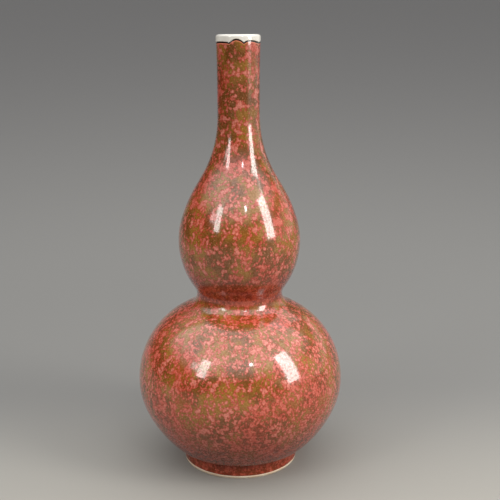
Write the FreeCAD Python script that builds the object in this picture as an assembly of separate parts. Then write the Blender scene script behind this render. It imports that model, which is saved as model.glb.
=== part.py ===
import FreeCAD, Part
import math
import os

# Double gourd vase in glazed porcelain: five thrown sections luted end to end with slip, then glazed.
# Millimetres. The origin is the centre of the foot on the surface it stands on, and +Z is up.
# The vase is drawn as half sections in the XZ plane. Heights and arc radii are over the glaze.

HEIGHT = 300.0

# Lower bulb: a rounder arc above the widest line, a tighter one under it, then a long flatter flank
BELLY_RADIUS = 72.4
BELLY_HEIGHT = 61.2
BELLY_CROWN_ARC = 57.7
BELLY_BOWL_ARC = 48.3
BELLY_BOWL_END_HEIGHT = 41.7
BELLY_FLANK_ARC = 82.7

# Hollow arc that joins the two bulbs
WAIST_ARC = 8.9

# Upper bulb, and the shoulder that narrows from it to the neck
BULB_RADIUS = 42.3
BULB_HEIGHT = 161.0
BULB_BOWL_ARC = 55.9
BULB_CROWN_ARC = 52.3
SHOULDER_HEIGHT = 176.1
SHOULDER_ARC = 99.3

# Neck: a hollow flare off the shoulder, a straight tube, then a very slight flare up to the lip
NECK_RADIUS = 14.4
NECK_HEIGHT = 247.0
NECK_FLARE_ARC = 79.9
TOP_FLARE_HEIGHT = 268.0
COLLAR_RADIUS = 14.75
COLLAR_HEIGHT = 293.0

# Lip: bevelled clay rounded over by thick white glaze
LIP_RADIUS = 14.95
LIP_OUTER_ROUNDING = 1.7
LIP_INNER_ROUNDING = 1.2
RIM_OUTER_BEVEL = 1.1
RIM_INNER_BEVEL = 0.8

# Turned foot ring, standing back under a small rounded heel, with glaze pooled in the corner
HEEL_HEIGHT = 13.35
HEEL_ROUNDING = 4.5
LEDGE_SLOPE = math.radians(18.0)
POOLED_COVE = 1.5
FOOT_TOP_RADIUS = 41.1
FOOT_BOTTOM_RADIUS = 40.6
FOOT_EDGE_ROUNDING = 0.8
FOOT_RING_WIDTH = 5.6
RECESS_DEPTH = 7.0
RECESS_BEVEL = 1.5

# Clay walls and floor
LOWER_WALL = 4.2
UPPER_WALL = 3.6
NECK_WALL = 2.95
FLOOR_THICKNESS = 6.0
FLOOR_COVE = 14.0
NECK_SEAM_HEIGHT = 226.0

# Ridge of slip along each seam: how far into the wall, out of it, and up and down the seam
SLIP_KEY = 1.4
SLIP_STAND = 0.9
SLIP_SPREAD = 1.6

# Glaze coats
GLAZE = 0.45
LINING = 0.4
BARE_FOOT_HEIGHT = 1.6

# Scalloped line where the two glazes meet. It starts 24 degrees left of the front, at -Y, and runs
# round by the right. Each lobe has its width in degrees, rise in mm, fullness and lean.
SCALLOP_START = -114.0
SCALLOP_VALLEY_DEPTH = 5.25
SCALLOPS = (
    (39.0, 2.45, 1.00, 1.00),
    (51.0, 1.45, 0.90, 0.66),
    (40.0, 0.70, 0.80, 1.10),
    (47.0, 2.10, 1.00, 0.90),
    (42.0, 1.20, 0.70, 1.00),
    (46.0, 1.90, 1.00, 1.15),
    (44.0, 1.50, 0.90, 0.85),
    (51.0, 0.65, 0.35, 1.00),
)
SCALLOP_STEPS = 10
SCALLOP_CUT_RADII = (12.6, 16.0)
SCALLOP_CUT_HEIGHT = 12.0

# How far the white coat's blank reaches below the top before the scallops are cut
COLLAR_DEPTH = 7.0

UP = FreeCAD.Vector(0, 0, 1)
TOUCHING = 1e-6


def at(radius, height):
    """A point of the half section."""
    return FreeCAD.Vector(radius, 0, height)


def away(length, angle):
    """A step in the half section, at an angle from outwards towards up."""
    return at(length * math.cos(angle), length * math.sin(angle))


def bearing(start, end):
    """The angle from one point to another, from 0 to a full turn."""
    return math.atan2(end.z - start.z, end.x - start.x) % (2 * math.pi)


def line(start, end):
    return Part.LineSegment(start, end).toShape()


def bow(centre, radius, start, end):
    """An arc from one angle to another."""
    points = [centre + away(radius, angle) for angle in (start, (start + end) / 2, end)]
    return Part.Arc(*points).toShape()


def outer_meeting(centre_a, reach_a, centre_b, reach_b):
    """Of the two points at given distances from two centres, the one further from the axis."""
    span = (centre_b - centre_a).Length
    along = (span**2 + reach_a**2 - reach_b**2) / (2 * span)
    aside = math.sqrt(reach_a**2 - along**2)
    heading = bearing(centre_a, centre_b)
    return centre_a + away(along, heading) + away(aside, heading - math.pi / 2)


# Centres of the arcs and the angles at which they hand over, from the foot to the lip
bowl = at(BELLY_RADIUS - BELLY_BOWL_ARC, BELLY_HEIGHT)
bowl_end = math.asin((BELLY_BOWL_END_HEIGHT - BELLY_HEIGHT) / BELLY_BOWL_ARC)
flank = bowl - away(BELLY_FLANK_ARC - BELLY_BOWL_ARC, bowl_end)
flank_end = math.asin((HEEL_HEIGHT - flank.z) / BELLY_FLANK_ARC)
heel = flank + away(BELLY_FLANK_ARC - HEEL_ROUNDING, flank_end)
heel_end = LEDGE_SLOPE - math.pi / 2
crown = at(BELLY_RADIUS - BELLY_CROWN_ARC, BELLY_HEIGHT)
bulb_bowl = at(BULB_RADIUS - BULB_BOWL_ARC, BULB_HEIGHT)
waist = outer_meeting(crown, BELLY_CROWN_ARC + WAIST_ARC, bulb_bowl, BULB_BOWL_ARC + WAIST_ARC)
bulb_crown = at(BULB_RADIUS - BULB_CROWN_ARC, BULB_HEIGHT)
shoulder_start = math.asin((SHOULDER_HEIGHT - BULB_HEIGHT) / BULB_CROWN_ARC)
shoulder = bulb_crown - away(SHOULDER_ARC - BULB_CROWN_ARC, shoulder_start)
flare = at(NECK_RADIUS + NECK_FLARE_ARC, NECK_HEIGHT)

# A straight run joins shoulder and flare, and touches both where their radii are parallel
shoulder_flare_span = (flare - shoulder).Length
shoulder_turn = math.acos((SHOULDER_ARC + NECK_FLARE_ARC) / shoulder_flare_span)
shoulder_end = bearing(shoulder, flare) - shoulder_turn

# The slight flare under the lip is one long arc that starts upright
top_flare_rise = COLLAR_HEIGHT - TOP_FLARE_HEIGHT
top_flare_spread = COLLAR_RADIUS - NECK_RADIUS
top_flare_arc = (top_flare_rise**2 + top_flare_spread**2) / (2 * top_flare_spread)
top_flare = at(NECK_RADIUS + top_flare_arc, TOP_FLARE_HEIGHT)
top_flare_turn = math.asin(top_flare_rise / top_flare_arc)

# Inside the foot ring, on top of the floor, and the top of the clay
recess_radius = FOOT_BOTTOM_RADIUS - GLAZE - FOOT_RING_WIDTH
floor_height = RECESS_DEPTH + FLOOR_THICKNESS
clay_top = HEIGHT - GLAZE


def inside(edges):
    """The half section between the axis and a run of edges, with straight lines over any gaps."""
    first = edges[0].firstVertex().Point
    last = edges[-1].lastVertex().Point
    chain = [line(at(0, first.z), first)]
    for edge in edges:
        reached = chain[-1].lastVertex().Point
        start = edge.firstVertex().Point
        if (start - reached).Length > TOUCHING:
            chain.append(line(reached, start))
        chain.append(edge)
    chain.append(line(last, at(0, last.z)))
    chain.append(line(at(0, last.z), at(0, first.z)))
    return Part.Face(Part.Wire(chain))


def band(low, high):
    """Everything in the half section between two heights."""
    return inside([line(at(BELLY_RADIUS, low), at(BELLY_RADIUS, high))])


def turned(section):
    """The solid that a half section sweeps in one turn of the wheel."""
    return section.Faces[0].revolve(FreeCAD.Vector(), UP, 360)


def gourd_edges(inset, first_angle):
    """The flank, both bulbs and the neck's flare, set in from the surface of the glaze."""
    return [
        bow(flank, BELLY_FLANK_ARC - inset, first_angle, bowl_end),
        bow(bowl, BELLY_BOWL_ARC - inset, bowl_end, 0),
        bow(crown, BELLY_CROWN_ARC - inset, 0, bearing(crown, waist)),
        bow(waist, WAIST_ARC + inset, bearing(waist, crown), bearing(waist, bulb_bowl)),
        bow(bulb_bowl, BULB_BOWL_ARC - inset, bearing(bulb_bowl, waist) - 2 * math.pi, 0),
        bow(bulb_crown, BULB_CROWN_ARC - inset, 0, shoulder_start),
        bow(shoulder, SHOULDER_ARC - inset, shoulder_start, shoulder_end),
        bow(flare, NECK_FLARE_ARC + inset, shoulder_end + math.pi, math.pi),
    ]


def foot_side(inset, cove):
    """The foot ring's outer wall and the corner under the heel, sharp or rounded by a cove."""
    bottom = at(FOOT_BOTTOM_RADIUS - inset, FOOT_EDGE_ROUNDING)
    ledge_end = heel + away(HEEL_ROUNDING - inset, heel_end)
    ledge = ledge_end.x - (FOOT_TOP_RADIUS - inset)
    corner = ledge_end - at(ledge, ledge * math.tan(LEDGE_SLOPE))
    if not cove:
        return [line(bottom, corner)]
    drop = cove / math.cos(LEDGE_SLOPE) - cove * math.tan(LEDGE_SLOPE)
    centre = corner + at(cove, -drop)
    return [line(bottom, centre - at(cove, 0)), bow(centre, cove, math.pi, heel_end + math.pi)]


def outside_edges(inset, cove):
    """The vase's outline from the foot ring up to the collar."""
    rounded_heel = bow(heel, HEEL_ROUNDING - inset, heel_end, flank_end)
    collar = bow(top_flare, top_flare_arc + inset, math.pi, math.pi - top_flare_turn)
    return foot_side(inset, cove) + [rounded_heel] + gourd_edges(inset, flank_end) + [collar]


def clay_form():
    """The clay as if it were solid above the recess in its foot."""
    inner_edge = recess_radius + FOOT_EDGE_ROUNDING
    outer_edge = at(FOOT_BOTTOM_RADIUS - GLAZE - FOOT_EDGE_ROUNDING, FOOT_EDGE_ROUNDING)
    rim = at(COLLAR_RADIUS - GLAZE, clay_top)
    ring = [
        line(at(recess_radius - RECESS_BEVEL, RECESS_DEPTH), at(recess_radius, RECESS_DEPTH - RECESS_BEVEL)),
        line(at(recess_radius, FOOT_EDGE_ROUNDING), at(inner_edge, 0)),
        bow(outer_edge, FOOT_EDGE_ROUNDING, -math.pi / 2, 0),
    ]
    bevel = line(rim - at(0, RIM_OUTER_BEVEL), rim - at(RIM_OUTER_BEVEL, 0))
    return inside(ring + outside_edges(GLAZE, 0) + [bevel])


def hollow(inset, mouth_edges):
    """The space inside a wall, with a flat floor rounded up into the sides."""
    reach = BELLY_FLANK_ARC - inset - FLOOR_COVE
    cove_angle = math.asin((floor_height + FLOOR_COVE - flank.z) / reach)
    floor_edge = bow(flank + away(reach, cove_angle), FLOOR_COVE, -math.pi / 2, cove_angle)
    return inside([floor_edge] + gourd_edges(inset, cove_angle) + mouth_edges)


def clay_hollow(wall):
    """The space inside the clay, which is bevelled at the mouth."""
    edge = at(NECK_RADIUS - GLAZE - wall, clay_top)
    bevel = line(edge - at(0, RIM_INNER_BEVEL), edge + at(RIM_INNER_BEVEL, 0))
    return hollow(GLAZE + wall, [bevel])


def slip_ridge(height, inner_radius):
    """Section of the slip that keys into the bevelled edges of two rims and stands inside them."""
    corners = [
        at(inner_radius + SLIP_KEY, height),
        at(inner_radius, height + SLIP_SPREAD),
        at(inner_radius - SLIP_STAND, height),
        at(inner_radius, height - SLIP_SPREAD),
    ]
    return Part.Face(Part.makePolygon(corners + corners[:1]))


def slip_ridges():
    """The four luting seams, each by name with its height and the section of its slip."""
    lower = GLAZE + LOWER_WALL
    upper = GLAZE + UPPER_WALL
    flare_reach = NECK_FLARE_ARC + upper
    seam_radius = flare.x - math.sqrt(flare_reach**2 - (NECK_HEIGHT - NECK_SEAM_HEIGHT)**2)
    return {
        "belly_seam_slip": slip_ridge(BELLY_HEIGHT, BELLY_RADIUS - lower),
        "waist_seam_slip": slip_ridge(waist.z, waist.x - WAIST_ARC - lower),
        "upper_bulb_seam_slip": slip_ridge(BULB_HEIGHT, BULB_RADIUS - upper),
        "neck_seam_slip": slip_ridge(NECK_SEAM_HEIGHT, seam_radius),
    }


def clay_sections(ridges):
    """The five thrown sections, each a slice of the clay with its own wall thickness."""
    slices = {
        "lower_bulb_base": (0, BELLY_HEIGHT, LOWER_WALL),
        "lower_bulb_top": (BELLY_HEIGHT, waist.z, LOWER_WALL),
        "upper_bulb_base": (waist.z, BULB_HEIGHT, UPPER_WALL),
        "upper_bulb_top": (BULB_HEIGHT, NECK_SEAM_HEIGHT, UPPER_WALL),
        "neck": (NECK_SEAM_HEIGHT, HEIGHT, NECK_WALL),
    }
    sections = {}
    for name, (low, high, wall) in slices.items():
        section = clay_form().common(band(low, high)).cut(clay_hollow(wall))
        for ridge in ridges.values():
            section = section.cut(ridge)
        sections[name] = section
    return sections


def lobe_line(radius, start, lobe, offset):
    """One lobe of the meeting line at a given radius, moved up or down by the offset."""
    width, rise, fullness, lean = lobe
    points = []
    for step in range(SCALLOP_STEPS + 1):
        share = step / SCALLOP_STEPS
        angle = math.radians(start + width * share)
        height = HEIGHT - SCALLOP_VALLEY_DEPTH + offset
        if 0 < step < SCALLOP_STEPS:
            height += rise * math.sin(math.pi * share**lean) ** fullness
        points.append(FreeCAD.Vector(radius * math.cos(angle), radius * math.sin(angle), height))
    curve = Part.BSplineCurve()
    curve.interpolate(Points=points)
    return curve.toShape()


def scallop_blocks(offset):
    """Blocks that stand on the meeting line moved up or down, one over each lobe, as cutters."""
    blocks = []
    start = SCALLOP_START
    for lobe in SCALLOPS:
        edges = [lobe_line(radius, start, lobe, offset) for radius in SCALLOP_CUT_RADII]
        blocks.append(Part.makeRuledSurface(*edges).extrude(UP * SCALLOP_CUT_HEIGHT))
        start += lobe[0]
    return blocks


def outer_glaze():
    """The flecked coat, from just above the bare foot to its scalloped top edge."""
    sides = []
    for inset, cove in ((0, POOLED_COVE), (GLAZE, 0)):
        rim = at(COLLAR_RADIUS - inset, clay_top)
        collar = line(rim - at(0, RIM_OUTER_BEVEL), rim)
        sides.append(inside(outside_edges(inset, cove) + [collar]))
    coat = sides[0].cut(sides[1]).common(band(BARE_FOOT_HEIGHT, HEIGHT - LIP_OUTER_ROUNDING))
    return turned(coat).cut(scallop_blocks(0))


def lip_glaze(neck_section):
    """The white coat over the lip and down the inside of the neck."""
    clay_inset = GLAZE + NECK_WALL
    clay_bore = NECK_RADIUS - clay_inset
    clay_flare = NECK_FLARE_ARC + clay_inset
    lining_foot = math.pi + math.asin((NECK_HEIGHT - NECK_SEAM_HEIGHT - SLIP_SPREAD) / clay_flare)
    collar_foot = HEIGHT - COLLAR_DEPTH
    rim = at(LIP_RADIUS - LIP_OUTER_ROUNDING, HEIGHT - LIP_OUTER_ROUNDING)
    blank = inside([
        bow(flare, clay_flare, lining_foot, math.pi),
        line(at(clay_bore, NECK_HEIGHT), at(clay_bore, collar_foot)),
        line(at(LIP_RADIUS, collar_foot), at(LIP_RADIUS, rim.z)),
        bow(rim, LIP_OUTER_ROUNDING, 0, math.pi / 2),
    ])
    mouth = at(clay_bore - LINING + LIP_INNER_ROUNDING, HEIGHT - LIP_INNER_ROUNDING)
    bore = hollow(clay_inset + LINING, [bow(mouth, LIP_INNER_ROUNDING, math.pi, math.pi / 2)])
    coat = turned(blank.cut(neck_section).cut(bore))
    return coat.cut(scallop_blocks(-SCALLOP_CUT_HEIGHT))


def recess_glaze():
    """The white wash on the ceiling and sides of the recess under the foot."""
    spaces = []
    for side, ceiling in ((recess_radius, RECESS_DEPTH), (recess_radius - LINING, RECESS_DEPTH - LINING)):
        wall = line(at(side, BARE_FOOT_HEIGHT), at(side, ceiling - RECESS_BEVEL))
        bevel = line(at(side, ceiling - RECESS_BEVEL), at(side - RECESS_BEVEL, ceiling))
        spaces.append(inside([wall, bevel]))
    return turned(spaces[0].cut(spaces[1]))


def pieces():
    """Every piece of the vase by name."""
    ridges = slip_ridges()
    sections = clay_sections(ridges)
    made = {name: turned(section) for name, section in sections.items()}
    made.update({name: turned(ridge) for name, ridge in ridges.items()})
    made["outer_glaze"] = outer_glaze()
    made["lip_glaze"] = lip_glaze(sections["neck"])
    made["recess_glaze"] = recess_glaze()
    return made


os.makedirs("parts", exist_ok=True)
for name, shape in pieces().items():
    shape.Solids[0].exportStep("parts/" + name + ".step")
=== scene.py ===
import bpy
import cmath
import math
from mathutils import Matrix, Vector


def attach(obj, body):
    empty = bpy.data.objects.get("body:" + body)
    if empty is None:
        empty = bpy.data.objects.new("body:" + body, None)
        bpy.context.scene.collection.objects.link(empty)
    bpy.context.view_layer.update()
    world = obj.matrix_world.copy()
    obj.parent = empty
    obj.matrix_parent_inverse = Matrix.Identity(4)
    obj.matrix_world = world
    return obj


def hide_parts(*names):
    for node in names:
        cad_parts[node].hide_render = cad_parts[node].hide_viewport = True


# Double gourd vase in glazed porcelain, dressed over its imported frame. Metres, +Z up, front at -Y.
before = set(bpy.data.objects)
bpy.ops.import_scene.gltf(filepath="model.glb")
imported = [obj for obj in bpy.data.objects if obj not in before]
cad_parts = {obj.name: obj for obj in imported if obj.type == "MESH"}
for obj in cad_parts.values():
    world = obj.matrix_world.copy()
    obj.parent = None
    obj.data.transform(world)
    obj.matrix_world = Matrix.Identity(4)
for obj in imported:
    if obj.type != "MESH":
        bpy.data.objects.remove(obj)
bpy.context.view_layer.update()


# The thrown base: the floor, the turned foot ring and the wall up to the belly seam, in porcelain
# clay. It was thrown on the wheel and its foot turned once stiff. Only the ring's edge stays bare,
# where the clay fired cream. The belly's sizes are those of the glazed surface over it.
BELLY_RADIUS = 0.0724
BELLY_HEIGHT = 0.0612
BELLY_BOWL_ARC = 0.0483
BELLY_BOWL_END_HEIGHT = 0.0417
BELLY_FLANK_ARC = 0.0827
HEEL_HEIGHT = 0.01335
HEEL_ROUNDING = 0.0045
LEDGE_SLOPE = math.radians(18)
LEDGE_COVE = 0.0015
FOOT_TOP_RADIUS = 0.0411
FOOT_BOTTOM_RADIUS = 0.0406
FOOT_EDGE_ROUNDING = 0.0003
FOOT_RING_WIDTH = 0.0056
RECESS_DEPTH = 0.0070
RECESS_BEVEL = 0.0015
LOWER_WALL = 0.0042
FLOOR_THICKNESS = 0.0060
FLOOR_COVE = 0.0140
GLAZE = 0.00045

# Steps between the points of a section, and how much finer they are on the small curves. Then the
# steps round the axis, and how near two points are one.
FINE_STEP = 0.0014
COARSE_STEP = 0.0045
CORNER_STEP = 0.00015
COVE_FINER = 4
HEEL_FINER = 3
STEPS_ROUND = 240
SAME_POINT = 1e-6
WELD_DISTANCE = 2e-6
WAVES_PER_METRE = 45.0


# Every piece is a half section swept round the axis. The points of a section are complex numbers:
# distance from the axis, then height.
def bow(centre, radius, start, end, spacing):
    """Points along an arc of the section."""
    steps = max(2, math.ceil(abs(end - start) * radius / spacing))
    return [centre + cmath.rect(radius, start + (end - start) * k / steps) for k in range(steps + 1)]


def straight(start, end, spacing):
    """Points along a straight run of the section."""
    steps = max(1, math.ceil(abs(end - start) / spacing))
    return [start + (end - start) * k / steps for k in range(steps + 1)]


bowl = complex(BELLY_RADIUS - BELLY_BOWL_ARC, BELLY_HEIGHT)
bowl_end = math.asin((BELLY_BOWL_END_HEIGHT - BELLY_HEIGHT) / BELLY_BOWL_ARC)
flank = bowl - cmath.rect(BELLY_FLANK_ARC - BELLY_BOWL_ARC, bowl_end)
flank_end = math.asin((HEEL_HEIGHT - flank.imag) / BELLY_FLANK_ARC)
heel = flank + cmath.rect(BELLY_FLANK_ARC - HEEL_ROUNDING, flank_end)
heel_end = LEDGE_SLOPE - math.pi / 2


def foot_side(inset, start, spacing):
    """The foot ring's outer wall from a height upwards, the cove over it and the rounded heel."""
    ledge_end = heel + cmath.rect(HEEL_ROUNDING - inset, heel_end)
    ledge = ledge_end.real - (FOOT_TOP_RADIUS - inset)
    corner = ledge_end - complex(ledge, ledge * math.tan(LEDGE_SLOPE))
    drop = LEDGE_COVE / math.cos(LEDGE_SLOPE) - LEDGE_COVE * math.tan(LEDGE_SLOPE)
    centre = corner + complex(LEDGE_COVE, -drop)
    taper = (FOOT_TOP_RADIUS - FOOT_BOTTOM_RADIUS) / corner.imag
    foot = complex(FOOT_BOTTOM_RADIUS - inset + taper * start, start)
    return (
        straight(foot, centre - LEDGE_COVE, spacing)
        + bow(centre, LEDGE_COVE, math.pi, heel_end + math.pi, spacing / COVE_FINER)
        + bow(heel, HEEL_ROUNDING - inset, heel_end, flank_end, spacing / HEEL_FINER)
    )


def place(tree, kind, inputs=None, **settings):
    """A node with its settings, and its values or incoming links by socket name or number."""
    made = tree.nodes.new(kind)
    for name, value in settings.items():
        setattr(made, name, value)
    for socket, value in (inputs or {}).items():
        if isinstance(value, bpy.types.NodeSocket):
            tree.links.new(value, made.inputs[socket])
        else:
            made.inputs[socket].default_value = value
    return made


def calculate(tree, operation, *values):
    """The result of a math node."""
    return place(tree, "ShaderNodeMath", dict(enumerate(values)), operation=operation).outputs[0]


def new_tree(name, kind, inputs, outputs):
    """A node group with named sockets, its input node's outputs and its output node."""
    tree = bpy.data.node_groups.new(name, kind)
    for direction, sockets in (("INPUT", inputs), ("OUTPUT", outputs)):
        for socket_name, socket_kind in sockets:
            tree.interface.new_socket(socket_name, in_out=direction, socket_type=socket_kind)
    return tree, place(tree, "NodeGroupInput").outputs, place(tree, "NodeGroupOutput")


# The wheel: a tree that sweeps a half section, given as one run of points, round the axis, and
# sinks the surface unevenly if asked to.
wheel, given, made = new_tree(
    "Potter's wheel",
    "GeometryNodeTree",
    [
        ("Section", "NodeSocketGeometry"),
        ("Steps round", "NodeSocketInt"),
        ("Weld distance", "NodeSocketFloat"),
        ("Unevenness", "NodeSocketFloat"),
        ("Waves per metre", "NodeSocketFloat"),
        ("Material", "NodeSocketMaterial"),
    ],
    [("Turned", "NodeSocketGeometry")],
)
counts = place(wheel, "GeometryNodeAttributeDomainSize", {0: given["Section"]}, component="MESH")
rows = counts.outputs["Point Count"]
columns = calculate(wheel, "ADD", given["Steps round"], 1)
row_span = calculate(wheel, "SUBTRACT", rows, 1)
sheet = place(
    wheel,
    "GeometryNodeMeshGrid",
    {"Size X": row_span, "Size Y": given["Steps round"], "Vertices X": rows, "Vertices Y": columns},
).outputs["Mesh"]
spot = place(wheel, "GeometryNodeInputPosition").outputs[0]
on_sheet = place(wheel, "ShaderNodeSeparateXYZ", {0: spot}).outputs
row = calculate(wheel, "ROUND", calculate(wheel, "MULTIPLY_ADD", row_span, 0.5, on_sheet["X"]))
turn = calculate(wheel, "MULTIPLY", on_sheet["Y"], math.tau)
turn = calculate(wheel, "DIVIDE", turn, given["Steps round"])
sampled = place(
    wheel,
    "GeometryNodeSampleIndex",
    {"Geometry": given["Section"], "Index": row},
    data_type="FLOAT_VECTOR",
)
wheel.links.new(spot, sampled.inputs["Value"])
point = place(wheel, "ShaderNodeSeparateXYZ", {0: sampled.outputs[0]}).outputs
swept = place(
    wheel,
    "ShaderNodeCombineXYZ",
    {
        "X": calculate(wheel, "MULTIPLY", point["X"], calculate(wheel, "COSINE", turn)),
        "Y": calculate(wheel, "MULTIPLY", point["X"], calculate(wheel, "SINE", turn)),
        "Z": point["Z"],
    },
).outputs[0]
waves = place(
    wheel,
    "ShaderNodeTexNoise",
    {"Vector": spot, "Scale": given["Waves per metre"], "Detail": 1},
).outputs["Fac"]
sunk = calculate(wheel, "MULTIPLY", waves, given["Unevenness"])
outward = place(wheel, "ShaderNodeVectorMath", {0: spot, 1: (1, 1, 0)}, operation="MULTIPLY").outputs[0]
outward = place(wheel, "ShaderNodeVectorMath", {0: outward}, operation="NORMALIZE").outputs[0]
inward = place(
    wheel,
    "ShaderNodeVectorMath",
    {0: outward, "Scale": calculate(wheel, "MULTIPLY", sunk, -1)},
    operation="SCALE",
).outputs[0]
body = place(wheel, "GeometryNodeSetPosition", {"Geometry": sheet, "Position": swept}).outputs[0]
for kind, first_input, others in (
    ("GeometryNodeMergeByDistance", "Geometry", {"Distance": given["Weld distance"]}),
    ("GeometryNodeSetPosition", "Geometry", {"Offset": inward}),
    ("GeometryNodeFlipFaces", "Mesh", {}),
    ("GeometryNodeSetShadeSmooth", "Geometry", {}),
    ("GeometryNodeRealizeInstances", "Geometry", {}),
    ("GeometryNodeSetMaterial", "Geometry", {"Material": given["Material"]}),
):
    body = place(wheel, kind, {first_input: body, **others}).outputs[0]
wheel.links.new(body, made.inputs[0])


def without_repeats(section):
    """The points of a section, with no two neighbours in one place."""
    points = [section[0]]
    for point in section[1:]:
        if abs(point - points[-1]) > SAME_POINT:
            points.append(point)
    return points


def run_tree(blank, tree, values):
    """Adds a tree to an object as a modifier and sets the tree's inputs, found by their names."""
    modifier = blank.modifiers.new(tree.name, "NODES")
    modifier.node_group = tree
    for item in tree.interface.items_tree:
        if item.in_out == "INPUT" and item.name in values:
            modifier[item.identifier] = values[item.name]


def turned(name, section, material, unevenness=0, finishing=None):
    """A form turned from its section. Finishing is a second tree's inputs, with the tree itself."""
    points = without_repeats(section)
    mesh = bpy.data.meshes.new(name + "_section")
    edges = [(k, k + 1) for k in range(len(points) - 1)]
    mesh.from_pydata([(p.real, 0, p.imag) for p in points], edges, [])
    blank = bpy.data.objects.new(name + "_blank", mesh)
    bpy.context.scene.collection.objects.link(blank)
    values = {
        "Steps round": STEPS_ROUND,
        "Weld distance": WELD_DISTANCE,
        "Unevenness": unevenness,
        "Waves per metre": WAVES_PER_METRE,
        "Material": material,
    }
    run_tree(blank, wheel, values)
    if finishing:
        run_tree(blank, *finishing)
    bpy.context.view_layer.update()
    depsgraph = bpy.context.evaluated_depsgraph_get()
    finished = bpy.data.meshes.new_from_object(blank.evaluated_get(depsgraph))
    finished.name = name
    bpy.data.objects.remove(blank)
    form = bpy.data.objects.new(name, finished)
    bpy.context.scene.collection.objects.link(form)
    return form


def turn_piece(name, *shape, **extras):
    """A turned form that belongs to the vase."""
    piece = turned(name, *shape, **extras)
    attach(piece, "root")
    return piece


def colour(red, green, blue):
    """A colour as seen on a screen, 0 to 255, as the shader wants it."""
    shades = [c / 255 for c in (red, green, blue)]
    return tuple(c / 12.92 if c < 0.04045 else ((c + 0.055) / 1.055) ** 2.4 for c in shades) + (1,)


def ease(tree, value, low, high, start=0, end=1):
    """A smooth step from one value to another as the first passes from low to high."""
    sockets = {"Value": value, "From Min": low, "From Max": high, "To Min": start, "To Max": end}
    return place(tree, "ShaderNodeMapRange", sockets, interpolation_type="SMOOTHSTEP").outputs[0]


def blend(tree, share, below, above, how="MIX"):
    """Two colours mixed by a share."""
    sockets = {0: share, 6: below, 7: above}
    return place(tree, "ShaderNodeMix", sockets, data_type="RGBA", blend_type=how).outputs[2]


def clouds(tree, place_in_mm, per_mm, detail=2, roughness=0.5, distortion=0):
    """Noise of a given number of clouds to the millimetre."""
    sockets = {
        "Vector": place_in_mm,
        "Scale": per_mm,
        "Detail": detail,
        "Roughness": roughness,
        "Distortion": distortion,
    }
    return place(tree, "ShaderNodeTexNoise", sockets).outputs["Fac"]


def cells(tree, place_in_mm, per_mm):
    """Distance to the nearest of scattered points, a given number of them to the millimetre."""
    sockets = {"Vector": place_in_mm, "Scale": per_mm}
    return place(tree, "ShaderNodeTexVoronoi", sockets).outputs["Distance"]


def new_material(name):
    """An empty material with its tree, its shader and the place on the piece in millimetres."""
    material = bpy.data.materials.new(name)
    material.use_nodes = True
    tree = material.node_tree
    tree.nodes.clear()
    shader = place(tree, "ShaderNodeBsdfPrincipled")
    place(tree, "ShaderNodeOutputMaterial", {"Surface": shader.outputs[0]})
    spot = place(tree, "ShaderNodeTexCoord").outputs["Object"]
    in_mm = place(tree, "ShaderNodeVectorMath", {0: spot, "Scale": 1000}, operation="SCALE").outputs[0]
    return material, tree, shader, in_mm


# Fired clay: fine grit, a slow change of tone and a few darker specks of iron.
CLAY_TONES_PER_MM = 0.12
CLAY_TONE_MIX = (0.35, 0.65)
CLAY_SPECKS_PER_MM = 0.5
CLAY_SPECK_EDGE = (0.08, 0.16)
CLAY_SPECK_SHARE = 0.5
CLAY_GRIT_MIX = (0.3, 0.7)
CLAY_ROUGHNESS = (0.62, 0.86)
IRON_SPECK = colour(96, 62, 40)
BARE_CLAY_PALE = colour(255, 238, 214)
BARE_CLAY_TOASTED = colour(250, 222, 192)
BARE_CLAY_GRAINS_PER_MM = 3.0
BARE_CLAY_GRAIN_DEPTH = 0.00008

grit_tree, given, made = new_tree(
    "Fired clay",
    "ShaderNodeTree",
    [
        ("Place in mm", "NodeSocketVector"),
        ("Grains per mm", "NodeSocketFloat"),
        ("Specks per mm", "NodeSocketFloat"),
    ],
    [("Height", "NodeSocketFloat"), ("Tone", "NodeSocketFloat"), ("Specks", "NodeSocketFloat")],
)
grit = clouds(grit_tree, given["Place in mm"], given["Grains per mm"], detail=3, roughness=0.65)
tone = clouds(grit_tree, given["Place in mm"], CLAY_TONES_PER_MM, detail=2)
specks = cells(grit_tree, given["Place in mm"], given["Specks per mm"])
grit_tree.links.new(grit, made.inputs["Height"])
grit_tree.links.new(tone, made.inputs["Tone"])
grit_tree.links.new(ease(grit_tree, specks, *CLAY_SPECK_EDGE, 1, 0), made.inputs["Specks"])


def clay_material(name, pale, deep, grains_per_mm, depth):
    """Fired clay between two tones."""
    material, tree, shader, in_mm = new_material(name)
    fired = place(tree, "ShaderNodeGroup", node_tree=grit_tree)
    tree.links.new(in_mm, fired.inputs["Place in mm"])
    fired.inputs["Grains per mm"].default_value = grains_per_mm
    fired.inputs["Specks per mm"].default_value = CLAY_SPECKS_PER_MM
    clay = blend(tree, ease(tree, fired.outputs["Tone"], *CLAY_TONE_MIX), pale, deep)
    specks = calculate(tree, "MULTIPLY", fired.outputs["Specks"], CLAY_SPECK_SHARE)
    clay = blend(tree, specks, clay, IRON_SPECK)
    tree.links.new(clay, shader.inputs["Base Color"])
    rough = ease(tree, fired.outputs["Height"], *CLAY_GRIT_MIX, *CLAY_ROUGHNESS)
    tree.links.new(rough, shader.inputs["Roughness"])
    bump = place(tree, "ShaderNodeBump", {"Distance": depth, "Height": fired.outputs["Height"]})
    tree.links.new(bump.outputs[0], shader.inputs["Normal"])
    return material


bare_clay = clay_material(
    "bare porcelain clay",
    BARE_CLAY_PALE,
    BARE_CLAY_TOASTED,
    BARE_CLAY_GRAINS_PER_MM,
    BARE_CLAY_GRAIN_DEPTH,
)

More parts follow.
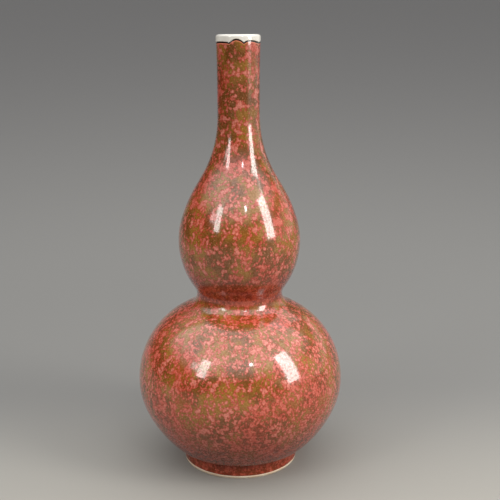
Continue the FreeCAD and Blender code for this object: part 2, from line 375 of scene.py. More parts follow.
recess_radius = FOOT_BOTTOM_RADIUS - GLAZE - FOOT_RING_WIDTH
recess_side = complex(recess_radius, RECESS_DEPTH - RECESS_BEVEL)
recess_flat = complex(recess_radius - RECESS_BEVEL, RECESS_DEPTH)
floor_height = RECESS_DEPTH + FLOOR_THICKNESS
foot_outer = complex(FOOT_BOTTOM_RADIUS - GLAZE - FOOT_EDGE_ROUNDING, FOOT_EDGE_ROUNDING)
wall_inset = GLAZE + LOWER_WALL
cove_reach = BELLY_FLANK_ARC - wall_inset - FLOOR_COVE
cove_angle = math.asin((floor_height + FLOOR_COVE - flank.imag) / cove_reach)
cove_centre = flank + cmath.rect(cove_reach, cove_angle)
base_section = (
    straight(complex(0, RECESS_DEPTH), recess_flat, COARSE_STEP)
    + straight(recess_side, complex(recess_radius, FOOT_EDGE_ROUNDING), FINE_STEP)
    + straight(complex(recess_radius + FOOT_EDGE_ROUNDING, 0), complex(foot_outer.real, 0), FINE_STEP)
    + bow(foot_outer, FOOT_EDGE_ROUNDING, -math.pi / 2, 0, CORNER_STEP)
    + foot_side(GLAZE, FOOT_EDGE_ROUNDING, FINE_STEP)
    + bow(flank, BELLY_FLANK_ARC - GLAZE, flank_end, bowl_end, COARSE_STEP)
    + bow(bowl, BELLY_BOWL_ARC - GLAZE, bowl_end, 0, COARSE_STEP)
    + bow(bowl, BELLY_BOWL_ARC - wall_inset, 0, bowl_end, COARSE_STEP)
    + bow(flank, BELLY_FLANK_ARC - wall_inset, bowl_end, cove_angle, COARSE_STEP)
    + bow(cove_centre, FLOOR_COVE, cove_angle, -math.pi / 2, FINE_STEP)
    + straight(complex(cove_centre.real, floor_height), complex(0, floor_height), COARSE_STEP)
)
thrown_base = turn_piece("thrown_base", base_section, bare_clay)
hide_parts("lower_bulb_base")


# The other four thrown sections, in the same clay, and the rings of slip that lute them together.
# Glaze hides them but for what shows down the mouth, so their own solids stay.
SLIP_PALE = colour(232, 216, 196)
SLIP_DEEP = colour(214, 192, 166)
SLIP_GRAINS_PER_MM = 1.6
SLIP_GRAIN_DEPTH = 0.0002
slip = clay_material("fired luting slip", SLIP_PALE, SLIP_DEEP, SLIP_GRAINS_PER_MM, SLIP_GRAIN_DEPTH)
for finish, node_names in (
    (bare_clay, ("lower_bulb_top", "upper_bulb_base", "upper_bulb_top", "neck")),
    (slip, ("belly_seam_slip", "waist_seam_slip", "upper_bulb_seam_slip", "neck_seam_slip")),
):
    for node_name in node_names:
        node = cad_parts[node_name]
        node.data.materials.clear()
        node.data.materials.append(finish)


# The outer coat: an iron glaze 0.45 mm thick, dipped and fired, that turned olive brown and broke
# into coral flecks where it crystallised. It runs from just above the bare foot to the scalloped
# line by the lip. Towards the foot it is deeper red, partly glaze that pooled there and partly
# painted shade on the lower belly, and painted shade darkens the upper bulb's underside over the waist.
BARE_FOOT_HEIGHT = 0.0020
BELLY_CROWN_ARC = 0.0577
WAIST_ARC = 0.0089
BULB_RADIUS = 0.0423
BULB_HEIGHT = 0.1610
BULB_BOWL_ARC = 0.0559
BULB_CROWN_ARC = 0.0523
SHOULDER_HEIGHT = 0.1761
SHOULDER_ARC = 0.0993
NECK_RADIUS = 0.0144
NECK_HEIGHT = 0.2470
NECK_FLARE_ARC = 0.0799
TOP_FLARE_HEIGHT = 0.2680
COLLAR_RADIUS = 0.01475
COLLAR_HEIGHT = 0.2930
WAIST_FINER = 2
COLLAR_FINER = 3
COAT_UNEVENNESS = 0.00022
COAT_EDGE_REACH = 0.008

# The scalloped line between the glazes, as the brush left it: lobes of different widths in degrees,
# with their rise over the valleys, fullness and lean. The first starts 24 degrees left of the front.
SCALLOP_START = math.radians(-114)
SCALLOP_VALLEY = 0.29475
SCALLOPS = (
    (39, 0.00245, 1.00, 1.00),
    (51, 0.00145, 0.90, 0.66),
    (40, 0.00070, 0.80, 1.10),
    (47, 0.00210, 1.00, 0.90),
    (42, 0.00120, 0.70, 1.00),
    (46, 0.00190, 1.00, 1.15),
    (44, 0.00150, 0.90, 0.85),
    (51, 0.00065, 0.35, 1.00),
)

# The fleck pattern, in clouds or cells to the millimetre, and what each adds to the amount of fleck.
RUN_DOWN = (1, 1, 0.85)
DRIFT_PER_MM = 0.035
TONE_PER_MM = 0.06
CLOTS_PER_MM = 0.22
RUFFLE_PER_MM = 0.62
BEADS_PER_MM = 0.42
CRUMBS_PER_MM = 0.55
WANDER_PER_MM = 0.9
CLOT_TWIST = 0.2
DRIFT_WEIGHT = 0.09
RUFFLE_WEIGHT = 0.52
BEADS_WEIGHT = 0.17
BEAD_EDGE = (0.15, 0.65)
BELLY_RUFFLE_WEIGHT = 0.24
BELLY_CLOTS_LOSS = 0.28
BELLY_GAIN = 0.040

# Where each tone begins and ends, as parts of the tone, the drift, the amount of fleck or the
# grain, and how strongly it shows. Those by the edge are metres under the meeting line.
OLIVE_MIX = (0.40, 0.60)
RUST_MIX = (0.40, 0.60)
RUST_PATCHES = (0.52, 0.64)
RUST_PATCH_SHARE = 0.45
RED_PATCHES = (0.46, 0.64)
RED_PATCH_SHARE = 0.6
FLECK_HALO = (0.845, 0.888)
FLECK_EDGE = (0.874, 0.894)
FLECK_HEART = (0.92, 1.03)
POOL_AND_SHADE_MIX = (0.80, 0.98)
POOL_AND_SHADE_MIX_SHARE = 0.62
SPECKLE_MIX = (0.32, 0.68)
SPECKLE = (0.80, 1.20)
NECK_SHADE = 0.86
CRUMB_EDGE = (0.12, 0.26)
CRUMB_SHARE = 0.45
EDGE_WANDER = 0.0005
PAINTED_EDGE_HIGHLIGHT = (0.0016, 0.0022)
PAINTED_EDGE_HIGHLIGHT_SHARE = 0.7
DARK_LINE = (0.0012, 0.0014)

# Heights in millimetres between which the flecks coarsen, the glaze pools with painted shade on the
# lower belly, painted shade darkens the upper bulb's underside and the neck, and the gloss changes.
BELLY_TO_BULB = (90, 150)
FOOT_POOL_AND_SHADE = (8, 66)
WAIST_SHADE_RISE = (118, 125)
WAIST_SHADE_FALL = (131, 148)
NECK_SHADE_RISE = (150, 230)
FOOT_GLOSS_RISE = (5, 75)
FOOT_POOL_AND_SHADE_SHARE = 0.85
FOOT_GLOSS = 0.45

OLIVE_DARK = colour(113, 67, 24)
OLIVE_LIGHT = colour(143, 98, 35)
RUST_BROWN = colour(152, 59, 30)
RUST_RED = colour(143, 46, 22)
CORAL_EDGE = colour(174, 75, 56)
CORAL_HEART = colour(199, 116, 98)
CORAL_RED = colour(187, 72, 52)
POOL_AND_SHADE_DARK = colour(122, 42, 24)
POOL_AND_SHADE_LIGHT = colour(182, 80, 54)
CRUMB_PINK = colour(221, 137, 106)
EDGE_HIGHLIGHT_PINK = colour(222, 128, 100)
LINE_BROWN = colour(26, 10, 4)

# The surface: grain and ripples in the melt, in millimetres of height, and the gloss over them.
FLECK_GRAINS_PER_MM = 1.0
FLECK_RIPPLES_PER_MM = 0.11
FLECK_GRAIN_DEPTH = 0.060
FLECK_RIPPLE_DEPTH = 0.10
FLECK_RELIEF = 0.07
FLECK_SHEEN = 0.15
FLECK_ROUGH_MIX = (0.3, 0.7)
FLECK_ROUGHNESS = (0.16, 0.36)
FLECK_GLOSS_MIX = (0.36, 0.52)
FLECK_GLOSS = (0.36, 1.0)
FLECK_GLOSS_ROUGHNESS = 0.10
FLECK_GLOSS_IOR = 1.7


def bearing(start, end):
    """The angle from one point of the section to another, from 0 to a full turn."""
    return cmath.phase(end - start) % math.tau


def outer_meeting(centre_a, reach_a, centre_b, reach_b):
    """Of the two points at given distances from two centres, the one further from the axis."""
    span = abs(centre_b - centre_a)
    along = (span**2 + reach_a**2 - reach_b**2) / (2 * span)
    aside = math.sqrt(reach_a**2 - along**2)
    heading = bearing(centre_a, centre_b)
    return centre_a + cmath.rect(along, heading) + cmath.rect(aside, heading - math.pi / 2)


crown = complex(BELLY_RADIUS - BELLY_CROWN_ARC, BELLY_HEIGHT)
bulb_bowl = complex(BULB_RADIUS - BULB_BOWL_ARC, BULB_HEIGHT)
waist = outer_meeting(crown, BELLY_CROWN_ARC + WAIST_ARC, bulb_bowl, BULB_BOWL_ARC + WAIST_ARC)
bulb_crown = complex(BULB_RADIUS - BULB_CROWN_ARC, BULB_HEIGHT)
shoulder_start = math.asin((SHOULDER_HEIGHT - BULB_HEIGHT) / BULB_CROWN_ARC)
shoulder = bulb_crown - cmath.rect(SHOULDER_ARC - BULB_CROWN_ARC, shoulder_start)
flare = complex(NECK_RADIUS + NECK_FLARE_ARC, NECK_HEIGHT)
shoulder_turn = math.acos((SHOULDER_ARC + NECK_FLARE_ARC) / abs(flare - shoulder))
shoulder_end = bearing(shoulder, flare) - shoulder_turn
top_flare_rise = COLLAR_HEIGHT - TOP_FLARE_HEIGHT
top_flare_spread = COLLAR_RADIUS - NECK_RADIUS
top_flare_arc = (top_flare_rise**2 + top_flare_spread**2) / (2 * top_flare_spread)
top_flare = complex(NECK_RADIUS + top_flare_arc, TOP_FLARE_HEIGHT)
top_flare_turn = math.asin(top_flare_rise / top_flare_arc)


def gourd(inset, spacing):
    """The flank, both bulbs and the neck's flare, set in from the surface of the glaze."""
    belly_to_waist = bearing(waist, crown)
    waist_end = bearing(waist, bulb_bowl)
    waist_to_bulb = bearing(bulb_bowl, waist) - math.tau
    return (
        bow(flank, BELLY_FLANK_ARC - inset, flank_end, bowl_end, spacing)
        + bow(bowl, BELLY_BOWL_ARC - inset, bowl_end, 0, spacing)
        + bow(crown, BELLY_CROWN_ARC - inset, 0, bearing(crown, waist), spacing)
        + bow(waist, WAIST_ARC + inset, belly_to_waist, waist_end, spacing / WAIST_FINER)
        + bow(bulb_bowl, BULB_BOWL_ARC - inset, waist_to_bulb, 0, spacing)
        + bow(bulb_crown, BULB_CROWN_ARC - inset, 0, shoulder_start, spacing)
        + bow(shoulder, SHOULDER_ARC - inset, shoulder_start, shoulder_end, spacing)
        + bow(flare, NECK_FLARE_ARC + inset, shoulder_end + math.pi, math.pi, spacing)
    )


def collar(inset, end, spacing):
    """The upright neck from its flare, the slight flare above it and the straight collar."""
    neck_side = NECK_RADIUS - inset
    collar_side = COLLAR_RADIUS - inset
    return (
        straight(complex(neck_side, NECK_HEIGHT), complex(neck_side, TOP_FLARE_HEIGHT), spacing)
        + bow(top_flare, top_flare_arc + inset, math.pi, math.pi - top_flare_turn, spacing)
        + straight(complex(collar_side, COLLAR_HEIGHT), complex(collar_side, end), spacing / COLLAR_FINER)
    )


# The scalloped edge: a second tree that leans the rows near a height up or down to the meeting
# line of the two glazes, and records on each point how far it lies under that line.
scallop, given, made = new_tree(
    "Scalloped glaze edge",
    "GeometryNodeTree",
    [
        ("Coat", "NodeSocketGeometry"),
        ("Meeting line", "NodeSocketObject"),
        ("Steps round", "NodeSocketInt"),
        ("Edge height", "NodeSocketFloat"),
        ("Reach", "NodeSocketFloat"),
        ("Material", "NodeSocketMaterial"),
    ],
    [("Scalloped", "NodeSocketGeometry")],
)
line_object = place(scallop, "GeometryNodeObjectInfo", {"Object": given["Meeting line"]})
where = place(scallop, "GeometryNodeInputPosition").outputs[0]
spot = place(scallop, "ShaderNodeSeparateXYZ", {0: where}).outputs
share = calculate(scallop, "DIVIDE", calculate(scallop, "ARCTAN2", spot["Y"], spot["X"]), math.tau)
column = calculate(scallop, "ROUND", calculate(scallop, "MULTIPLY", share, given["Steps round"]))
column = calculate(scallop, "FLOORED_MODULO", column, given["Steps round"])
on_line = place(
    scallop,
    "GeometryNodeSampleIndex",
    {"Geometry": line_object.outputs["Geometry"], "Value": where, "Index": column},
    data_type="FLOAT_VECTOR",
)
line_height = place(scallop, "ShaderNodeSeparateXYZ", {0: on_line.outputs[0]}).outputs["Z"]
off_edge = calculate(scallop, "SUBTRACT", spot["Z"], given["Edge height"])
off_edge = calculate(scallop, "ABSOLUTE", off_edge)
pull = calculate(scallop, "SUBTRACT", 1, calculate(scallop, "DIVIDE", off_edge, given["Reach"]))
pull = calculate(scallop, "MAXIMUM", pull, 0)
lift = calculate(scallop, "SUBTRACT", line_height, given["Edge height"])
lift = calculate(scallop, "MULTIPLY", pull, lift)
shift = place(scallop, "ShaderNodeCombineXYZ", {"Z": lift}).outputs[0]
under = calculate(scallop, "SUBTRACT", line_height, spot["Z"])
coat = place(scallop, "GeometryNodeSetPosition", {"Geometry": given["Coat"], "Offset": shift}).outputs[0]
coat = place(
    scallop,
    "GeometryNodeStoreNamedAttribute",
    {"Geometry": coat, "Name": "under_edge", "Value": under},
    data_type="FLOAT",
    domain="POINT",
).outputs[0]
coat = place(scallop, "GeometryNodeRealizeInstances", {"Geometry": coat}).outputs[0]
coat = place(
    scallop,
    "GeometryNodeSetMaterial",
    {"Geometry": coat, "Material": given["Material"]},
).outputs[0]
scallop.links.new(coat, made.inputs[0])


def meeting_height(angle):
    """Height of the line between the glazes at an angle round the neck."""
    past = math.degrees((angle - SCALLOP_START) % math.tau)
    for width, rise, fullness, lean in SCALLOPS:
        if past <= width:
            return SCALLOP_VALLEY + rise * max(0, math.sin(math.pi * (past / width) ** lean)) ** fullness
        past -= width
    return SCALLOP_VALLEY


line_points = []
for step in range(STEPS_ROUND):
    angle = math.tau * step / STEPS_ROUND
    line_points.append(Vector((math.cos(angle), math.sin(angle), 0)) * COLLAR_RADIUS)
    line_points[-1].z = meeting_height(angle)
line_mesh = bpy.data.meshes.new("meeting_line")
line_mesh.from_pydata(line_points, [], [])
meeting_line = bpy.data.objects.new("meeting_line", line_mesh)
bpy.context.scene.collection.objects.link(meeting_line)


def scalloped(reach, material):
    """The second tree and its inputs, for a coat whose edge lies on the meeting line."""
    return scallop, {
        "Meeting line": meeting_line,
        "Steps round": STEPS_ROUND,
        "Edge height": SCALLOP_VALLEY,
        "Reach": reach,
        "Material": material,
    }


# Both glazes share their skin: a fine grain of crystals that breaks up the highlights, and the
# slow ripples that a thick melted coat keeps.
glaze_skin, given, made = new_tree(
    "Glaze skin",
    "ShaderNodeTree",
    [
        ("Place in mm", "NodeSocketVector"),
        ("Grains per mm", "NodeSocketFloat"),
        ("Ripples per mm", "NodeSocketFloat"),
        ("Grain depth", "NodeSocketFloat"),
        ("Ripple depth", "NodeSocketFloat"),
    ],
    [("Height", "NodeSocketFloat"), ("Grain", "NodeSocketFloat")],
)
grain = clouds(glaze_skin, given["Place in mm"], given["Grains per mm"], detail=2, roughness=0.6)
ripple = clouds(glaze_skin, given["Place in mm"], given["Ripples per mm"], detail=1)
rippled = calculate(glaze_skin, "MULTIPLY", ripple, given["Ripple depth"])
skin_height = calculate(glaze_skin, "MULTIPLY_ADD", grain, given["Grain depth"], rippled)
glaze_skin.links.new(skin_height, made.inputs["Height"])
glaze_skin.links.new(grain, made.inputs["Grain"])


def skin_of(tree, in_mm, grains_per_mm, ripples_per_mm, grain_depth, ripple_depth):
    """The height and the grain of a glaze's skin."""
    skin = place(tree, "ShaderNodeGroup", node_tree=glaze_skin)
    tree.links.new(in_mm, skin.inputs["Place in mm"])
    skin.inputs["Grains per mm"].default_value = grains_per_mm
    skin.inputs["Ripples per mm"].default_value = ripples_per_mm
    skin.inputs["Grain depth"].default_value = grain_depth
    skin.inputs["Ripple depth"].default_value = ripple_depth
    return skin.outputs["Height"], skin.outputs["Grain"]


def raise_skin(tree, shader, height_in_mm):
    """A bump from a height in millimetres."""
    bump = place(tree, "ShaderNodeBump", {"Strength": 1.0, "Distance": 0.001, "Height": height_in_mm})
    tree.links.new(bump.outputs[0], shader.inputs["Normal"])


flecked, tree, shader, in_mm = new_material("flecked iron glaze")
run_down = place(tree, "ShaderNodeMapping", {"Vector": in_mm, "Scale": RUN_DOWN}).outputs[0]
height_mm = place(tree, "ShaderNodeSeparateXYZ", {0: in_mm}).outputs["Z"]
drift = clouds(tree, run_down, DRIFT_PER_MM, detail=2)
clots = clouds(tree, run_down, CLOTS_PER_MM, detail=2, roughness=0.5, distortion=CLOT_TWIST)
ruffle = clouds(tree, run_down, RUFFLE_PER_MM, detail=3, roughness=0.65)
tone = clouds(tree, run_down, TONE_PER_MM, detail=3)
beads = ease(tree, cells(tree, run_down, BEADS_PER_MM), *BEAD_EDGE, 1, 0)
amount = calculate(tree, "MULTIPLY_ADD", drift, DRIFT_WEIGHT, clots)
amount = calculate(tree, "MULTIPLY_ADD", ruffle, RUFFLE_WEIGHT, amount)
amount = calculate(tree, "MULTIPLY_ADD", beads, BEADS_WEIGHT, amount)
on_belly = ease(tree, height_mm, *BELLY_TO_BULB, 1, 0)
finer = calculate(tree, "MULTIPLY", ruffle, BELLY_RUFFLE_WEIGHT)
finer = calculate(tree, "SUBTRACT", finer, calculate(tree, "MULTIPLY", clots, BELLY_CLOTS_LOSS))
finer = calculate(tree, "ADD", finer, BELLY_GAIN)
amount = calculate(tree, "MULTIPLY_ADD", finer, on_belly, amount)
# Deeper red towards the foot: partly glaze that pooled there, partly painted shade on the lower belly.
pooled_and_shade = ease(tree, height_mm, *FOOT_POOL_AND_SHADE, FOOT_POOL_AND_SHADE_SHARE, 0)
# Painted shade darkening the upper bulb's underside just over the waist.
under_bulb_shade = ease(tree, height_mm, *WAIST_SHADE_RISE)
under_bulb_shade = calculate(tree, "MULTIPLY", under_bulb_shade, ease(tree, height_mm, *WAIST_SHADE_FALL, 1.0, 0))
pooled_and_shade = calculate(tree, "MAXIMUM", pooled_and_shade, under_bulb_shade)

olive = blend(tree, ease(tree, tone, *OLIVE_MIX), OLIVE_DARK, OLIVE_LIGHT)
rust = blend(tree, ease(tree, drift, *RUST_MIX), RUST_BROWN, RUST_RED)
ground = blend(tree, ease(tree, drift, *RUST_PATCHES, 0, RUST_PATCH_SHARE), olive, rust)
coral = blend(tree, ease(tree, amount, *FLECK_HEART), CORAL_EDGE, CORAL_HEART)
coral = blend(tree, ease(tree, drift, *RED_PATCHES, 0, RED_PATCH_SHARE), coral, CORAL_RED)
paint = blend(tree, ease(tree, amount, *FLECK_HALO), ground, rust)
paint = blend(tree, ease(tree, amount, *FLECK_EDGE), paint, coral)
deep = blend(tree, ease(tree, amount, *POOL_AND_SHADE_MIX, 0, POOL_AND_SHADE_MIX_SHARE), POOL_AND_SHADE_DARK, POOL_AND_SHADE_LIGHT)
paint = blend(tree, pooled_and_shade, paint, deep)

skin_height, grain = skin_of(
    tree,
    in_mm,
    FLECK_GRAINS_PER_MM,
    FLECK_RIPPLES_PER_MM,
    FLECK_GRAIN_DEPTH,
    FLECK_RIPPLE_DEPTH,
)
speckle = ease(tree, grain, *SPECKLE_MIX, *SPECKLE)
# Painted shade: the colour darkens up the neck.
neck_shade = ease(tree, height_mm, *NECK_SHADE_RISE, 1, NECK_SHADE)
speckle = calculate(tree, "MULTIPLY", speckle, neck_shade)
speckle_grey = place(tree, "ShaderNodeCombineColor", {0: speckle, 1: speckle, 2: speckle}).outputs[0]
paint = blend(tree, 1, paint, speckle_grey, "MULTIPLY")
crumb = ease(tree, cells(tree, run_down, CRUMBS_PER_MM), *CRUMB_EDGE, CRUMB_SHARE, 0)
paint = blend(tree, crumb, paint, CRUMB_PINK)

# By the scalloped edge, a pink border that is a painted highlight, where the glaze's rounded edge
# catches the light, and then a thin dark line, both a little unsteady.
under_edge = place(tree, "ShaderNodeAttribute", attribute_name="under_edge").outputs["Fac"]
wander = clouds(tree, in_mm, WANDER_PER_MM, detail=1)
edge_line = calculate(tree, "MULTIPLY_ADD", wander, EDGE_WANDER, under_edge)
paint = blend(tree, ease(tree, edge_line, *PAINTED_EDGE_HIGHLIGHT, PAINTED_EDGE_HIGHLIGHT_SHARE, 0), paint, EDGE_HIGHLIGHT_PINK)
paint = blend(tree, ease(tree, edge_line, *DARK_LINE, 1, 0), paint, LINE_BROWN)

tree.links.new(paint, shader.inputs["Base Color"])
rough = ease(tree, grain, *FLECK_ROUGH_MIX, *FLECK_ROUGHNESS)
tree.links.new(rough, shader.inputs["Roughness"])
gloss = ease(tree, grain, *FLECK_GLOSS_MIX, *FLECK_GLOSS)
gloss = calculate(tree, "MULTIPLY", gloss, ease(tree, height_mm, *FOOT_GLOSS_RISE, FOOT_GLOSS, 1))
tree.links.new(gloss, shader.inputs["Coat Weight"])
shader.inputs["Specular IOR Level"].default_value = FLECK_SHEEN
shader.inputs["Coat Roughness"].default_value = FLECK_GLOSS_ROUGHNESS
shader.inputs["Coat IOR"].default_value = FLECK_GLOSS_IOR
raise_skin(tree, shader, calculate(tree, "MULTIPLY_ADD", ruffle, FLECK_RELIEF, skin_height))

edge_round = GLAZE / 2
coat_top = complex(COLLAR_RADIUS - edge_round, SCALLOP_VALLEY - edge_round)
coat_foot = complex(FOOT_BOTTOM_RADIUS - edge_round, BARE_FOOT_HEIGHT + edge_round)
coat_section = (
    foot_side(0, coat_foot.imag, FINE_STEP)
    + gourd(0, FINE_STEP)
    + collar(0, coat_top.imag, FINE_STEP)
    + bow(coat_top, edge_round, 0, math.pi, CORNER_STEP)
    + collar(GLAZE, coat_top.imag, COARSE_STEP)[::-1]
    + gourd(GLAZE, COARSE_STEP)[::-1]
    + foot_side(GLAZE, coat_foot.imag, COARSE_STEP)[::-1]
    + bow(coat_foot, edge_round, math.pi, math.tau, CORNER_STEP)
)
glaze_coat = turn_piece(
    "glaze_coat",
    coat_section,
    flecked,
    unevenness=COAT_UNEVENNESS,
    finishing=scalloped(COAT_EDGE_REACH, flecked),
)
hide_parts("outer_glaze")


# The lip: thick white glaze brushed and rounded over the bevelled rim, with its lower edge on the
# scalloped line, and running on down the inside of the neck as a thin lining.
HEIGHT = 0.300
LIP_RADIUS = 0.01495
LIP_OUTER_ROUNDING = 0.0017
LIP_INNER_ROUNDING = 0.0012
LIP_EDGE_ROUNDING = 0.00030
LIP_EDGE_REACH = 0.0035
LIP_EDGE_STEP = CORNER_STEP / 2
LIP_SIDE_STEP = FINE_STEP / 4
RIM_OUTER_BEVEL = 0.0011
RIM_INNER_BEVEL = 0.0008
NECK_WALL = 0.00295
LINING = 0.0004
LINING_END = 0.2276

MILK_DULL = colour(218, 214, 204)
MILK_BRIGHT = colour(228, 224, 215)
THIN_EDGE = colour(196, 178, 150)
THIN_EDGE_REACH = (-0.0007, 0.0001)
THIN_EDGE_SHARE = 0.55
MILK_PER_MM = 0.12
MILK_MIX = (0.3, 0.7)
MILK_ROUGHNESS = 0.16
MILK_GLOSS = 0.6
MILK_GLOSS_ROUGHNESS = 0.04
MILK_GRAINS_PER_MM = 1.8
MILK_RIPPLES_PER_MM = 0.15
MILK_GRAIN_DEPTH = 0.004
MILK_RIPPLE_DEPTH = 0.08

white, tree, shader, in_mm = new_material("white lip glaze")
drift = clouds(tree, in_mm, MILK_PER_MM, detail=2)
milk = blend(tree, ease(tree, drift, *MILK_MIX), MILK_DULL, MILK_BRIGHT)
under_edge = place(tree, "ShaderNodeAttribute", attribute_name="under_edge").outputs["Fac"]
thin = ease(tree, under_edge, *THIN_EDGE_REACH, 0, THIN_EDGE_SHARE)
milk = blend(tree, thin, milk, THIN_EDGE)
tree.links.new(milk, shader.inputs["Base Color"])
shader.inputs["Roughness"].default_value = MILK_ROUGHNESS
shader.inputs["Coat Weight"].default_value = MILK_GLOSS
shader.inputs["Coat Roughness"].default_value = MILK_GLOSS_ROUGHNESS
skin_height, grain = skin_of(
    tree,
    in_mm,
    MILK_GRAINS_PER_MM,
    MILK_RIPPLES_PER_MM,
    MILK_GRAIN_DEPTH,
    MILK_RIPPLE_DEPTH,
)
raise_skin(tree, shader, skin_height)

clay_inset = GLAZE + NECK_WALL
clay_bore = NECK_RADIUS - clay_inset
clay_rim = HEIGHT - GLAZE
rim_side = COLLAR_RADIUS - GLAZE
lip_outer = complex(LIP_RADIUS - LIP_OUTER_ROUNDING, HEIGHT - LIP_OUTER_ROUNDING)
lip_inner = complex(clay_bore - LINING + LIP_INNER_ROUNDING, HEIGHT - LIP_INNER_ROUNDING)
lip_edge = complex(LIP_RADIUS - LIP_EDGE_ROUNDING, SCALLOP_VALLEY + LIP_EDGE_ROUNDING)
rim_inner = complex(clay_bore + RIM_INNER_BEVEL, clay_rim)
rim_outer = complex(rim_side - RIM_OUTER_BEVEL, clay_rim)
rim_below = complex(rim_side, clay_rim - RIM_OUTER_BEVEL)


def lining_side(inset):
    """One side of the lining, from its lower end up to the rounding of the lip."""
    low_angle = math.pi + math.asin((NECK_HEIGHT - LINING_END) / (NECK_FLARE_ARC + inset))
    neck_side = NECK_RADIUS - inset
    rim = complex(neck_side, clay_rim - RIM_INNER_BEVEL)
    return bow(flare, NECK_FLARE_ARC + inset, low_angle, math.pi, FINE_STEP) + straight(
        complex(neck_side, NECK_HEIGHT), rim, FINE_STEP
    )


clay_side = lining_side(clay_inset)
bore_side = lining_side(clay_inset + LINING)[:-1]
lip_section = (
    clay_side
    + straight(rim_inner, rim_outer, FINE_STEP)
    + straight(rim_below, complex(rim_side, SCALLOP_VALLEY), LIP_SIDE_STEP)
    + bow(lip_edge, LIP_EDGE_ROUNDING, -math.pi / 2, 0, LIP_EDGE_STEP)
    + straight(complex(LIP_RADIUS, lip_edge.imag), complex(LIP_RADIUS, lip_outer.imag), LIP_SIDE_STEP)
    + bow(lip_outer, LIP_OUTER_ROUNDING, 0, math.pi / 2, CORNER_STEP)
    + bow(lip_inner, LIP_INNER_ROUNDING, math.pi / 2, math.pi, CORNER_STEP)
    + bore_side[::-1]
    + clay_side[:1]
)
lip_coat = turn_piece("lip_coat", lip_section, white, finishing=scalloped(LIP_EDGE_REACH, white))
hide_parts("lip_glaze")
bpy.data.objects.remove(meeting_line)


# The wash in the recess under the foot: the same white glaze, brushed thin on the turned clay and
# fired with the rest. It stops short of the bare ring that the vase stands on.
wash_section = []
for inset, way in ((0, 1), (LINING, -1)):
    side = recess_radius - inset
    ceiling = RECESS_DEPTH - inset
    run = (
        straight(complex(side, BARE_FOOT_HEIGHT), complex(side, ceiling - RECESS_BEVEL), FINE_STEP)
        + straight(complex(side - RECESS_BEVEL, ceiling), complex(0, ceiling), COARSE_STEP)
    )
    wash_section += run[::way]
wash_section.append(wash_section[0])
wash = turn_piece("recess_wash", wash_section, white)
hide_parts("recess_glaze")


# Studio: a pale floor that curves up into a backdrop all round. Painted light makes it brightest in
# front of the vase, and painted shade darkens it away from the vase. Beyond the picture painted shade
# makes it dim on the left and painted light makes it pale on the right, for the glaze to mirror. Rays
# that aren't seen meet one plain tone.
FLOOR_RADIUS = 0.5
COVE_RADIUS = 2.0
BACKDROP_TOP = 1.0
COVE_STEP = 0.05
FLOOR_STEP = 0.1
PAPER_ROUGHNESS = 0.9
PAPER_SHEEN = 0.1
PAPER_PLAIN = colour(121, 115, 107)
FLOOR_FRONT_PAINTED_LIGHT = colour(148, 145, 138)
FLOOR_BEHIND_PAINTED_SHADE = colour(119, 118, 115)
COVE_PAINTED_SHADE = colour(95, 94, 93)
WALL_PAINTED_SHADE = colour(63, 62, 61)
LEFT_PAINTED_SHADE = colour(44, 43, 42)
RIGHT_PAINTED_LIGHT = colour(214, 211, 203)

# Where the painted light and shade change, in millimetres: from front to back, outwards to the cove
# and the wall, and to the left and right.
FRONT_TO_BACK = (-120, 140)
OUT_TO_COVE = (500, 1700)
OUT_TO_WALL = (1700, 2500)
LEFT_EDGE = (-1050, -600)
RIGHT_EDGE = (950, 1250)

backdrop_paint, tree, shader, in_mm = new_material("pale backdrop")
ray = place(tree, "ShaderNodeLightPath").outputs
seen = calculate(tree, "MAXIMUM", ray["Is Camera Ray"], ray["Is Glossy Ray"])
seen = calculate(tree, "MAXIMUM", seen, ray["Is Transmission Ray"])
reach = place(tree, "ShaderNodeVectorMath", {0: in_mm}, operation="LENGTH").outputs["Value"]
spot = place(tree, "ShaderNodeSeparateXYZ", {0: in_mm}).outputs
# Painted light and shade on the paper: brighter in front, darker back to the cove and the wall, dim to
# the left and pale to the right.
shown = blend(tree, ease(tree, spot["Y"], *FRONT_TO_BACK), FLOOR_FRONT_PAINTED_LIGHT, FLOOR_BEHIND_PAINTED_SHADE)
shown = blend(tree, ease(tree, reach, *OUT_TO_COVE), shown, COVE_PAINTED_SHADE)
shown = blend(tree, ease(tree, reach, *OUT_TO_WALL), shown, WALL_PAINTED_SHADE)
shown = blend(tree, ease(tree, spot["X"], *LEFT_EDGE, 1, 0), shown, LEFT_PAINTED_SHADE)
shown = blend(tree, ease(tree, spot["X"], *RIGHT_EDGE, 0, 1), shown, RIGHT_PAINTED_LIGHT)
tree.links.new(blend(tree, seen, PAPER_PLAIN, shown), shader.inputs["Base Color"])
shader.inputs["Roughness"].default_value = PAPER_ROUGHNESS
shader.inputs["Specular IOR Level"].default_value = PAPER_SHEEN

cove = complex(FLOOR_RADIUS, COVE_RADIUS)
cove_top = -math.asin(1 - BACKDROP_TOP / COVE_RADIUS)
backdrop_section = (
    bow(cove, COVE_RADIUS, cove_top, -math.pi / 2, COVE_STEP)
    + straight(complex(FLOOR_RADIUS, 0), 0j, FLOOR_STEP)
)
turned("backdrop", backdrop_section, backdrop_paint)


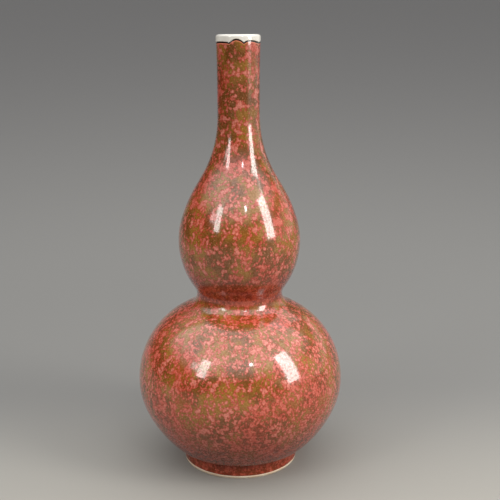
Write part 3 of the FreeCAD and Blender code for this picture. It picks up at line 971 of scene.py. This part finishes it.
# Lights: a tall softbox to the right, a smaller one to the left with a weak reflector beside it, a
# small lamp above the camera and a dim panel behind. Each row gives azimuth from the front, + to
# the right, and elevation, then distance, width, height, radiance and tint.
AIM = Vector((0, 0, 0.14))
LAMPS = {
    "right_softbox": (61, 24.5, 1.0, 0.29, 0.66, 11.0, (1.0, 0.98, 0.94)),
    "left_softbox": (-46, 28, 1.0, 0.18, 0.38, 8.5, (1.0, 0.99, 0.96)),
    "left_reflector": (-58, 27, 1.0, 0.16, 0.14, 3.5, (1.0, 0.99, 0.96)),
    "camera_lamp": (16, 40, 0.9, 0.055, 0.055, 32.0, (0.96, 0.98, 1.0)),
    "back_panel": (170, 48, 1.6, 1.6, 1.0, 0.75, (1.0, 0.99, 0.98)),
}
for name, (azimuth, elevation, distance, width, height, radiance, tint) in LAMPS.items():
    a, e = math.radians(azimuth), math.radians(elevation)
    out = Vector((math.sin(a) * math.cos(e), -math.cos(a) * math.cos(e), math.sin(e)))
    lamp = bpy.data.lights.new(name, "AREA")
    lamp.shape = "RECTANGLE"
    lamp.size = width
    lamp.size_y = height
    lamp.energy = radiance * math.pi * width * height
    lamp.color = tint
    holder = bpy.data.objects.new(name, lamp)
    holder.location = AIM + out * distance
    holder.rotation_euler = (-out).to_track_quat("-Z", "Y").to_euler()
    bpy.context.scene.collection.objects.link(holder)


# The room's air, with a bright ceiling that begins well above the level and ends behind the vase.
# The limits are parts of the direction up and of the direction back.
AIR_STRENGTH = 0.10
AIR_TINT = (0.97, 0.98, 1.0, 1)
CEILING_STRENGTH = 1.90
CEILING_BEGINS = (0.34, 0.70)
CEILING_ENDS = (0.36, 0.48)
CEILING_BEHIND = 0.2
world = bpy.data.worlds.new("studio air")
world.use_nodes = True
tree = world.node_tree
air = tree.nodes["Background"]
toward = place(tree, "ShaderNodeTexCoord").outputs["Generated"]
toward = place(tree, "ShaderNodeSeparateXYZ", {0: toward}).outputs
above = ease(tree, toward["Z"], *CEILING_BEGINS)
before_end = ease(tree, toward["Y"], *CEILING_ENDS, 1, CEILING_BEHIND)
ceiling = calculate(tree, "MULTIPLY", above, before_end)
strength = calculate(tree, "MULTIPLY_ADD", ceiling, CEILING_STRENGTH, AIR_STRENGTH)
tree.links.new(strength, air.inputs["Strength"])
air.inputs["Color"].default_value = AIR_TINT
bpy.context.scene.world = world
bpy.context.scene.view_settings.view_transform = "Standard"


# Camera, fitted to the photograph: level with the lip, looking down and slightly to the right.
PICTURE_WIDTH = 500
FOCAL_PIXELS = 890.2
SENSOR_WIDTH = 36
CAMERA_PLACE = (0, -0.6036, 0.3001)
PAN = math.radians(-0.700)
PITCH = math.radians(90 - 13.64)
ROLL = math.radians(-0.177)
camera_data = bpy.data.cameras.new("camera")
camera_data.sensor_width = SENSOR_WIDTH
camera_data.lens = SENSOR_WIDTH * FOCAL_PIXELS / PICTURE_WIDTH
camera = bpy.data.objects.new("camera", camera_data)
camera.location = CAMERA_PLACE
pan = Matrix.Rotation(PAN, 3, "Z")
pitch = Matrix.Rotation(PITCH, 3, "X")
roll = Matrix.Rotation(ROLL, 3, "Z")
camera.rotation_euler = (pan @ pitch @ roll).to_euler()
bpy.context.scene.collection.objects.link(camera)
bpy.context.scene.camera = camera
